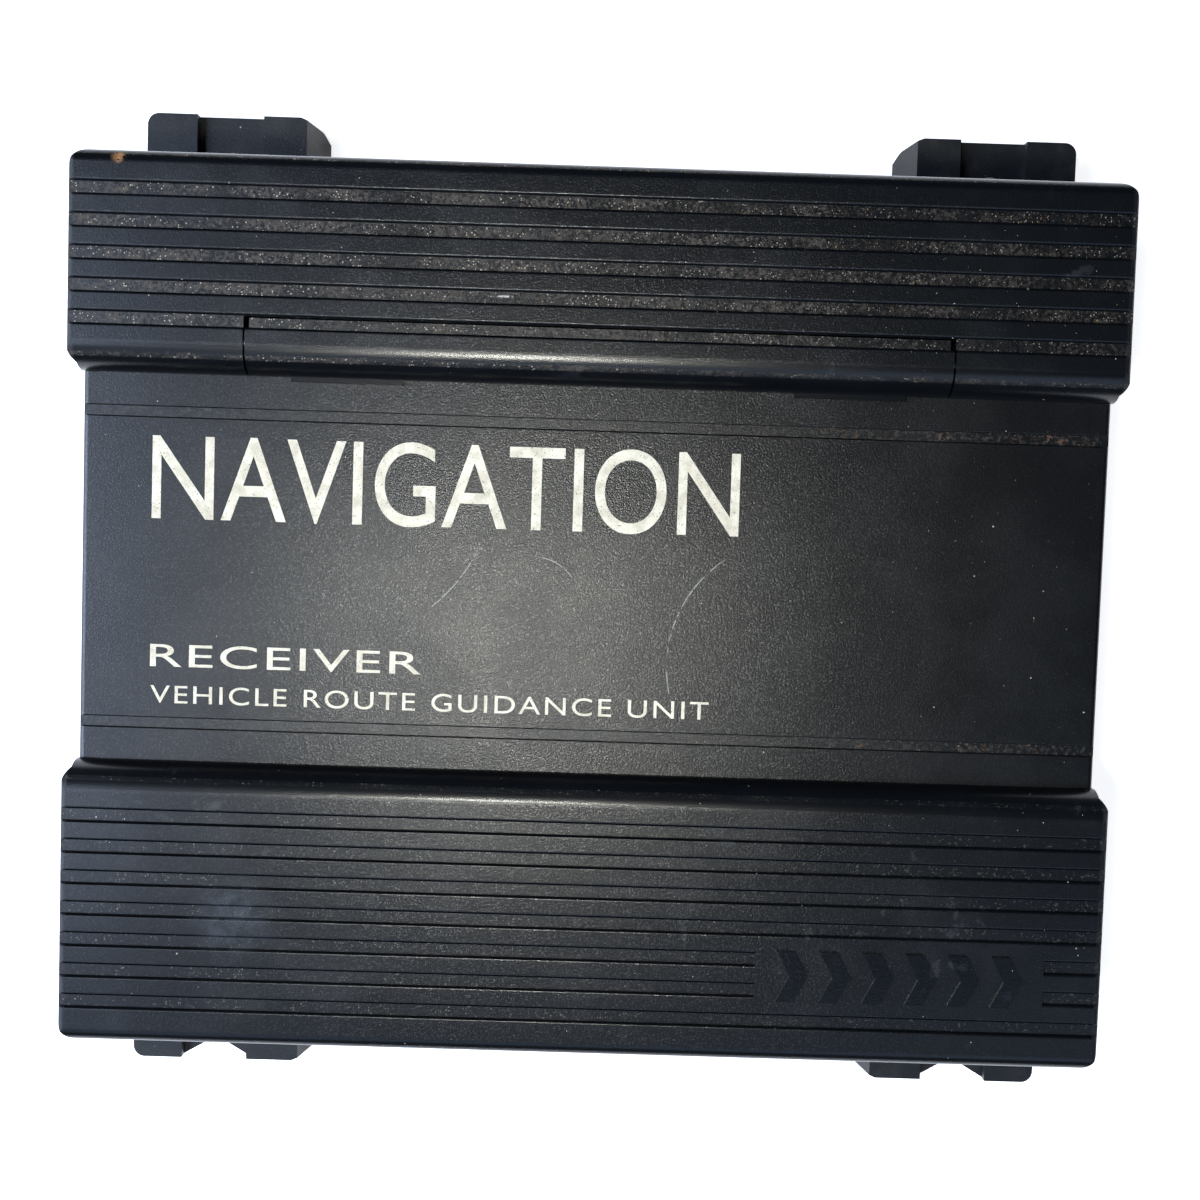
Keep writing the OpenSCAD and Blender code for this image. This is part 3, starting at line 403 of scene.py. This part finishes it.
def road_grains():
    """Loose grains of dust and soil, pale to rusty brown."""
    material, tree, shader, place = start_material("road_grains", IOR=1.45, Roughness=0.85)
    cells = add(tree, "ShaderNodeTexVoronoi", {"Vector": place, "Scale": 1 / (1.5 * MM)})
    warm = ramp(tree, cells.outputs["Color"], 0.25, 0.75)
    tree.links.new(tint(tree, warm, "#9c917c", "#8c6238"), shader.inputs["Base Color"])
    return material


def make_materials():
    """One material for each slot of the record."""
    return {
        "case_plastic": tray_abs(),
        "cap_plastic": cap_abs(),
        "panel_plastic": panel_abs(),
        "inner_plastic": moulded("black_nylon", "#15171a", "#202327", 0.45, 0.25, 0.006),
        "connector_nylon": moulded("natural_nylon", "#d9d5c6", "#c8c3b2", 0.4, 0.3, 0.004),
        "contact_gold": rolled_metal("gold_flash", "#d8ae58", "#b98f42", 0.25, 0.05),
        "insulator": moulded("white_pbt", "#dcdbd6", "#cccac2", 0.4, 0.25, 0.004),
        "bright_steel": rolled_metal("zinc_plate", "#b9bcc0", "#9da0a5", 0.3, 0.06),
        "black_steel": rolled_metal("black_oxide", "#2b2c2f", "#1e1f21", 0.38, 0.06),
        "tin_plate": rolled_metal("tin_plate", "#c2c5c8", "#a5a8ab", 0.32, 0.08),
        "board_mask": solder_mask(),
        "chip_epoxy": moulded("chip_epoxy", "#141415", "#1b1b1c", 0.55, 0.2, 0.006),
        "label_film": label_film(),
        "card_plastic": moulded("card_plastic", "#121213", "#1a1a1b", 0.4, 0.2, 0.004),
        "button_plastic": moulded("grey_abs", "#7d8184", "#6f7376", 0.45, 0.2, 0.004),
        "lamp_lens": clear_polycarbonate(),
        "capacitor_can": rolled_metal("capacitor_can", "#b5b8bc", "#9a9da1", 0.28, 0.08, (12.0, 12.0, 1.0)),
        "ferrite": moulded("ferrite", "#2e2f31", "#3a3b3d", 0.6, 0.2, 0.02),
        "silicone_pad": moulded("silicone_pad", "#7f93a6", "#8fa2b4", 0.7, 0.3, 0.01),
    }


def dress_nodes(materials):
    """Gives every CAD node the material of its slot."""
    slot_of = {part["node"]: part["material_slot"] for part in frame["record"]["subparts"]}
    for name, thing in nodes.items():
        if not thing.data.materials:
            thing.data.materials.append(None)
        for slot in thing.material_slots:
            slot.material = materials[slot_of[name]]


# ---------------------------------------------------------------- pieces

def new_piece(name, mesh, body, material=None):
    """Puts a finished mesh in the scene, riding on a body."""
    piece = bpy.data.objects.new(name, mesh)
    scene.collection.objects.link(piece)
    if material is not None:
        mesh.materials.clear()
        mesh.materials.append(material)
    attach(piece, body)
    return piece


def evaluated_copy(thing, name):
    """The mesh of an object as its modifiers leave it."""
    graph = bpy.context.evaluated_depsgraph_get()
    graph.update()
    mesh = bpy.data.meshes.new_from_object(thing.evaluated_get(graph))
    mesh.name = name
    return mesh


INK_FILM = 0.02


def printed_line(words, left, top, width, height, spacing=1.0):
    """One line of print as a mesh, fitted to its width and height on the panel, in millimetres."""
    curve = bpy.data.curves.new(words, "FONT")
    curve.body = words
    curve.space_character = spacing
    curve.extrude = 0.01
    writer = bpy.data.objects.new("writer", curve)
    scene.collection.objects.link(writer)
    mesh = evaluated_copy(writer, words)
    bpy.data.objects.remove(writer)
    low = [min(v.co[i] for v in mesh.vertices) for i in range(3)]
    high = [max(v.co[i] for v in mesh.vertices) for i in range(3)]
    for vertex in mesh.vertices:
        share = [(vertex.co[i] - low[i]) / (high[i] - low[i]) for i in range(3)]
        vertex.co = Vector(((left + share[0] * width) * MM, (top - (1 - share[1]) * height) * MM,
                            PANEL_TOP + share[2] * INK_FILM * MM))
    return mesh


def join_meshes(name, meshes):
    """Several meshes as one."""
    joined = bmesh.new()
    for mesh in meshes:
        joined.from_mesh(mesh)
    out = bpy.data.meshes.new(name)
    joined.to_mesh(out)
    joined.free()
    return out


def print_legend(ink):
    """The generic legend: a large line over two small ones."""
    lines = [printed_line("NAVIGATION", -63.8, 24.1, 84.6, 12.2),
             printed_line("RECEIVER", -63.7, -6.1, 39.2, 3.3, 1.1),
             printed_line("VEHICLE ROUTE GUIDANCE UNIT", -63.6, -12.1, 81.0, 2.6, 1.15)]
    new_piece("printed_legend", join_meshes("printed_legend", lines), "case", ink)


# ---------------------------------------------------------------- grains of dust

def grain_tree():
    """Geometry Nodes: scatters small rounded grains over a bed of faces, thicker where the bed says."""
    tree = bpy.data.node_groups.new("scatter_grains", "GeometryNodeTree")
    tree.is_modifier = True
    face = tree.interface
    face.new_socket("Geometry", in_out="INPUT", socket_type="NodeSocketGeometry")
    for name, kind in (("Per square metre", "NodeSocketFloat"), ("Smallest", "NodeSocketFloat"),
                       ("Largest", "NodeSocketFloat"), ("Seed", "NodeSocketInt"),
                       ("Material", "NodeSocketMaterial")):
        face.new_socket(name, in_out="INPUT", socket_type=kind)
    face.new_socket("Geometry", in_out="OUTPUT", socket_type="NodeSocketGeometry")
    given = add(tree, "NodeGroupInput")
    thick = add(tree, "GeometryNodeInputNamedAttribute", {0: "thick"}, data_type="FLOAT")
    density = add(tree, "ShaderNodeMath", {0: thick.outputs[0], 1: given.outputs["Per square metre"]},
                  operation="MULTIPLY")
    points = add(tree, "GeometryNodeDistributePointsOnFaces",
                 {"Mesh": given.outputs[0], "Density": density.outputs[0], "Seed": given.outputs["Seed"]})
    ball = add(tree, "GeometryNodeMeshIcoSphere", {"Radius": 0.5, "Subdivisions": 1})
    size = add(tree, "FunctionNodeRandomValue", {2: given.outputs["Smallest"], 3: given.outputs["Largest"],
                                                 "Seed": given.outputs["Seed"]}, data_type="FLOAT")
    lumps = add(tree, "FunctionNodeRandomValue", {0: (0.7, 0.5, 0.35), 1: (1.5, 1.0, 0.7),
                                                  "Seed": given.outputs["Seed"]}, data_type="FLOAT_VECTOR")
    scale = add(tree, "ShaderNodeVectorMath", {0: lumps.outputs[0], 1: size.outputs[1]},
                operation="MULTIPLY")
    turn = add(tree, "FunctionNodeRandomValue", {0: (0, 0, 0), 1: (0, 0, math.tau),
                                                 "Seed": given.outputs["Seed"]}, data_type="FLOAT_VECTOR")
    placed = add(tree, "GeometryNodeInstanceOnPoints",
                 {"Points": points.outputs["Points"], "Instance": ball.outputs["Mesh"],
                  "Rotation": turn.outputs[0], "Scale": scale.outputs[0]})
    real = add(tree, "GeometryNodeRealizeInstances", {0: placed.outputs[0]})
    dressed = add(tree, "GeometryNodeSetMaterial", {"Geometry": real.outputs[0],
                                                    "Material": given.outputs["Material"]})
    add(tree, "NodeGroupOutput", {0: dressed.outputs[0]})
    return tree


def run_tree(tree, mesh, name, values):
    """Runs a node tree over a mesh with its inputs set by name, and returns the plain result."""
    holder = bpy.data.objects.new("holder", mesh)
    scene.collection.objects.link(holder)
    modifier = holder.modifiers.new("tree", "NODES")
    modifier.node_group = tree
    identifiers = {item.name: item.identifier for item in tree.interface.items_tree
                   if item.item_type == "SOCKET" and item.in_out == "INPUT"}
    for key, value in values.items():
        modifier[identifiers[key]] = value
    made = evaluated_copy(holder, name)
    bpy.data.objects.remove(holder)
    return made


def dust_bed(strips):
    """Level strips that dust settles on: (x0, y0, x1, y1, z, thickness left, thickness right), in mm."""
    build = bmesh.new()
    thick = build.verts.layers.float.new("thick")
    steps = 12
    for x0, y0, x1, y1, z, left, right in strips:
        rows = []
        for i in range(steps + 1):
            share = i / steps
            x = x0 + (x1 - x0) * share
            pair = [build.verts.new((x * MM, y * MM, z * MM)) for y in (y0, y1)]
            for vertex in pair:
                vertex[thick] = left + (right - left) * share
            rows.append(pair)
        for (a, b), (d, c) in zip(rows, rows[1:]):
            build.faces.new((a, d, c, b))
    mesh = bpy.data.meshes.new("dust_bed")
    build.to_mesh(mesh)
    build.free()
    return mesh


def ring_tree():
    """Geometry Nodes: short round contacts on a ring, upright, one in the middle of each step."""
    tree = bpy.data.node_groups.new("contact_ring", "GeometryNodeTree")
    tree.is_modifier = True
    face = tree.interface
    face.new_socket("Geometry", in_out="INPUT", socket_type="NodeSocketGeometry")
    for name, kind in (("Count", "NodeSocketInt"), ("Ring radius", "NodeSocketFloat"),
                       ("Contact radius", "NodeSocketFloat"), ("Length", "NodeSocketFloat"),
                       ("Material", "NodeSocketMaterial")):
        face.new_socket(name, in_out="INPUT", socket_type=kind)
    face.new_socket("Geometry", in_out="OUTPUT", socket_type="NodeSocketGeometry")
    given = add(tree, "NodeGroupInput")
    ring = add(tree, "GeometryNodeMeshCircle", {"Vertices": given.outputs["Count"],
                                                "Radius": given.outputs["Ring radius"]})
    pin = add(tree, "GeometryNodeMeshCylinder", {"Vertices": 16, "Radius": given.outputs["Contact radius"],
                                                 "Depth": given.outputs["Length"]})
    placed = add(tree, "GeometryNodeInstanceOnPoints",
                 {"Points": ring.outputs[0], "Instance": pin.outputs[0]})
    real = add(tree, "GeometryNodeRealizeInstances", {0: placed.outputs[0]})
    dressed = add(tree, "GeometryNodeSetMaterial", {"Geometry": real.outputs[0],
                                                    "Material": given.outputs["Material"]})
    add(tree, "NodeGroupOutput", {0: dressed.outputs[0]})
    return tree


def fit_contacts(material):
    """The round socket's contacts: an outer ring of eight and an inner ring of four."""
    low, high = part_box("interface_core")
    middle = (low + high) / 2
    tree = ring_tree()
    proud = 1.2 * MM
    rings = [run_tree(tree, bpy.data.meshes.new("ring"), "ring",
                      {"Count": count, "Ring radius": radius * MM, "Contact radius": 0.5 * MM,
                       "Length": 2 * proud, "Material": material})
             for count, radius in ((8, 3.4), (4, 1.5))]
    contacts = join_meshes("interface_contacts", rings)
    face = Matrix.Translation((middle.x, high.y, middle.z))
    contacts.transform(face @ Matrix.Rotation(math.radians(90), 4, "X"))
    new_piece("interface_contacts", contacts, "case", material)


def print_label(ink):
    """Plain bars and a frame on the plate label under the floor, where its table would be."""
    low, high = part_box("rating_label")
    bars = [(4, 4, 66, 0.3), (4, 32, 66, 0.3), (4, 4, 0.3, 28.3), (69.7, 4, 0.3, 28.3), (30, 4, 0.3, 28.3)]
    bars += [(33, 27 - 4.2 * i, width, 1.2) for i, width in enumerate((30, 22, 33, 18, 26))]
    bars += [(8, 24 - 5.5 * i, width, 2.0) for i, width in enumerate((18, 12, 15))]
    build = bmesh.new()
    for left, front, width, depth in bars:
        centre = Vector((low.x + (left + width / 2) * MM, low.y + (front + depth / 2) * MM, low.z))
        size = Matrix.Diagonal((width * MM, depth * MM, 0.01 * MM, 1))
        bmesh.ops.create_cube(build, size=1.0, matrix=Matrix.Translation(centre) @ size)
    mesh = bpy.data.meshes.new("label_print")
    build.to_mesh(mesh)
    build.free()
    new_piece("label_print", mesh, "case", ink)


GRAINS_PER_M2 = 1.6e6


def strips_from(first_y, count, width):
    """The front and rear edges of a row of grooves or ribs that runs forward from first_y, in mm."""
    return [(first_y - i * RIB_PITCH, first_y - i * RIB_PITCH + width) for i in range(count)]


def settle_dust(material):
    """Grains on the rear cap, most of all in its grooves, and over the right side of the panel."""
    tree = grain_tree()
    edge = 0.25
    half_w = cap_high.x / MM - 1.0
    rib_z = RIB_TOP / MM
    rear_y = cap_high.y / MM
    grooves = strips_from(rear_y - REAR_FIRST_GROOVE - GROOVE_W, REAR_GROOVES - 1, GROOVE_W)
    ribs = strips_from(rear_y - REAR_FIRST_GROOVE - RIB_PITCH, REAR_GROOVES - 1, RIB_PITCH - GROOVE_W)
    rear = [(-half_w, y0 + edge, half_w, y1 - edge, GROOVE_FLOOR / MM, 0.20, 0.6) for y0, y1 in grooves]
    rear += [(-half_w, y0 + edge, half_w, y1 - edge, rib_z, 0.02, 0.05) for y0, y1 in ribs]
    crumb_x = CRUMBS_AT[0]
    rear.append((crumb_x - 0.5, rear_y - 2.2, crumb_x + 0.4, rear_y - 1.2, rib_z - 0.1, 40, 40))
    rear.append((crumb_x - 0.3, rear_y - 1.2, crumb_x + 0.6, rear_y - 0.5, rib_z - 0.5, 40, 40))
    clear = 6
    panel = [(5, panel_low.y / MM + clear, panel_high.x / MM - 1.5, panel_high.y / MM - clear,
              PANEL_TOP / MM, 0.005, 0.035)]
    for name, strips, seed in (("rear_cap_grains", rear, 7), ("panel_grains", panel, 11)):
        grains = run_tree(tree, dust_bed(strips), name,
                          {"Per square metre": GRAINS_PER_M2, "Seed": seed, "Smallest": 0.06 * MM,
                           "Largest": 0.20 * MM, "Material": material})
        new_piece(name, grains, "case")


# ---------------------------------------------------------------- floor and light

def soft_light(name, at, towards, size, power, colour):
    """A square soft box of the given size, aimed at a point. Lengths are in metres."""
    data = bpy.data.lights.new(name, "AREA")
    data.shape = "RECTANGLE"
    data.size, data.size_y = size
    data.energy = power
    data.color = linear(colour)[:3]
    light = bpy.data.objects.new(name, data)
    scene.collection.objects.link(light)
    light.location = at
    light.rotation_mode = "QUATERNION"
    light.rotation_quaternion = (Vector(at) - Vector(towards)).to_track_quat("Z", "Y")


def build_studio():
    """A pale floor and a dim sky, a small lamp beside the camera, cool windows to the left and in front."""
    floor_size = 3.0
    floor_gap = 0.1 * MM                      # keeps the floor clear of the faces that rest on it
    build = bmesh.new()
    bmesh.ops.create_grid(build, x_segments=1, y_segments=1, size=floor_size)
    bmesh.ops.translate(build, verts=build.verts, vec=(0, 0, -floor_gap))
    mesh = bpy.data.meshes.new("floor")
    build.to_mesh(mesh)
    build.free()
    floor = bpy.data.objects.new("floor", mesh)
    scene.collection.objects.link(floor)
    material, tree, shader, place = start_material("pale_floor", Roughness=0.9)
    paper = grain(tree, place, 40.0, 3.0)
    tree.links.new(tint(tree, paper, "#fbfbfb", "#f4f4f4"), shader.inputs["Base Color"])
    shader.inputs["Emission Color"].default_value = linear("#ffffff")
    shader.inputs["Emission Strength"].default_value = 0.85
    mesh.materials.append(material)
    world = bpy.data.worlds.new("studio")
    world.use_nodes = True
    world.node_tree.nodes.clear()
    sky = add(world.node_tree, "ShaderNodeBackground", {"Color": linear("#7f8fa3"), "Strength": 0.08})
    add(world.node_tree, "ShaderNodeOutputWorld", {0: sky.outputs[0]})
    scene.world = world
    soft_light("hand_lamp", (-0.026, -0.019, 0.262), (-0.014, -0.01, 0.03), (0.03, 0.03), 0.39, "#fffff4")
    soft_light("left_window", (-0.72, -0.05, 0.56), (0, 0, 0), (0.5, 0.9), 16.0, "#cfe0ff")
    soft_light("front_window", (0.1, -0.62, 0.80), (0, 0, 0), (1.2, 0.5), 1.9, "#c4dcff")


# ---------------------------------------------------------------- build

scene.view_settings.view_transform = "Standard"
place_camera()
materials = make_materials()
dress_nodes(materials)
print_legend(screen_ink())
settle_dust(road_grains())
fit_contacts(materials["contact_gold"])
print_label(materials["card_plastic"])
build_studio()
